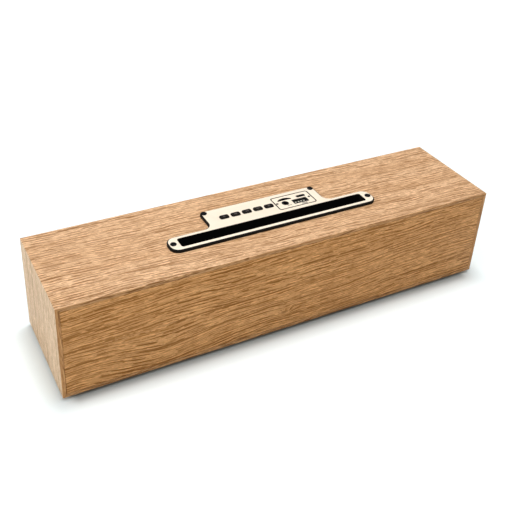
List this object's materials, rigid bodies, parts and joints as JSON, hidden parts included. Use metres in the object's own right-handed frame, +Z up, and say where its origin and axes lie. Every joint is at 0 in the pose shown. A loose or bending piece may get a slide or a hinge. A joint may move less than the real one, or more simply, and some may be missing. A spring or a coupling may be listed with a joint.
{
  "type": "wooden wireless speaker",
  "caption": "Long wooden-cased wireless speaker with a phone slot, push keys and sockets in a T-shaped metal top panel, on rubber feet.",
  "frame": {"origin": "middle of the footprint, on the surface it stands on", "axes": "+Z up; +X along the length, so the keys are on the +X side of the top panel; -Y is the grille side, +Y the plain wooden back"},
  "size_m": [0.37, 0.0904, 0.0858],
  "materials": {
    "top_veneer": "satin veneer, grain along the length",
    "end_veneer": "satin veneer, grain upright",
    "back_veneer": "satin veneer, darker, grain along the length",
    "painted_board": "black painted fibre board",
    "bare_wood": "bare softwood",
    "black_steel": "black oxide",
    "black_rubber": "matt",
    "black_plastic": "fine spark texture",
    "grille_steel": "perforated, black powder coat",
    "champagne_metal": "satin champagne anodised look",
    "key_plastic": "satin",
    "plated_steel": "nickel plated",
    "circuit_board": "solder mask",
    "chip_black": "moulded epoxy",
    "cell_wrap": "shrink wrap",
    "lead_cover": "soft insulation",
    "basket_steel": "grey powder coat",
    "ferrite": "ground ferrite",
    "cone_paper": "pressed black paper",
    "copper_coil": "enamelled copper wire",
    "spider_cloth": "resin-stiffened cloth"
  },
  "bodies": {
    "case": {"top_board": "top_veneer", "bottom_board": "top_veneer", "left_end_board": "end_veneer", "right_end_board": "end_veneer", "back_board": "back_veneer", "front_baffle": "painted_board", "baffle_battens": "bare_wood", "baffle_screws": "black_steel", "rubber_feet": "black_rubber", "grille_frame": "black_plastic", "grille_sheet": "grille_steel", "panel_base": "black_plastic", "panel_plate": "champagne_metal", "panel_screws": "black_steel", "slot_liner": "black_rubber", "port_plate": "champagne_metal", "port_screws": "black_steel", "switch_bodies": "plated_steel", "key_board": "circuit_board", "key_board_screws": "plated_steel", "port_board": "circuit_board", "aux_jack": "black_plastic", "usb_shell": "plated_steel", "usb_tongue": "black_plastic", "charge_socket": "plated_steel", "card_socket": "plated_steel", "board_parts": "chip_black", "battery_holder": "black_plastic", "battery_cells": "cell_wrap", "battery_lead": "lead_cover", "driver_leads": "lead_cover", "driver_screws": "black_steel", "left_basket": "basket_steel", "left_motor_plate": "plated_steel", "left_magnet": "ferrite", "left_yoke": "plated_steel", "left_surround": "black_rubber", "left_spider": "spider_cloth", "right_basket": "basket_steel", "right_motor_plate": "plated_steel", "right_magnet": "ferrite", "right_yoke": "plated_steel", "right_surround": "black_rubber", "right_spider": "spider_cloth"},
    "mode_button": {"mode_key": "key_plastic", "mode_plunger": "chip_black"},
    "previous_button": {"previous_key": "key_plastic", "previous_plunger": "chip_black"},
    "play_button": {"play_key": "key_plastic", "play_plunger": "chip_black"},
    "next_button": {"next_key": "key_plastic", "next_plunger": "chip_black"},
    "power_button": {"power_key": "key_plastic", "power_plunger": "chip_black"},
    "left_diaphragm": {"left_cone": "cone_paper", "left_voice_coil": "copper_coil", "left_dust_cap": "cone_paper"},
    "right_diaphragm": {"right_cone": "cone_paper", "right_voice_coil": "copper_coil", "right_dust_cap": "cone_paper"}
  },
  "joints": [
    {"name": "mode_press", "type": "slide", "parent": "case", "child": "mode_button", "axis": [0, 0, -1], "range_m": [0, 0.0004], "stiffness_N_per_m": 2000, "springref_m": -0.0003},
    {"name": "previous_press", "type": "slide", "parent": "case", "child": "previous_button", "axis": [0, 0, -1], "range_m": [0, 0.0004], "stiffness_N_per_m": 2000, "springref_m": -0.0003},
    {"name": "play_press", "type": "slide", "parent": "case", "child": "play_button", "axis": [0, 0, -1], "range_m": [0, 0.0004], "stiffness_N_per_m": 2000, "springref_m": -0.0003},
    {"name": "next_press", "type": "slide", "parent": "case", "child": "next_button", "axis": [0, 0, -1], "range_m": [0, 0.0004], "stiffness_N_per_m": 2000, "springref_m": -0.0003},
    {"name": "power_press", "type": "slide", "parent": "case", "child": "power_button", "axis": [0, 0, -1], "range_m": [0, 0.0004], "stiffness_N_per_m": 2000, "springref_m": -0.0003},
    {"name": "left_cone_stroke", "type": "slide", "parent": "case", "child": "left_diaphragm", "axis": [0, -1, 0], "range_m": [-0.002, 0.002], "stiffness_N_per_m": 800, "deforming": ["left_surround", "left_spider"]},
    {"name": "right_cone_stroke", "type": "slide", "parent": "case", "child": "right_diaphragm", "axis": [0, -1, 0], "range_m": [-0.002, 0.002], "stiffness_N_per_m": 800, "deforming": ["right_surround", "right_spider"]}
  ]
}
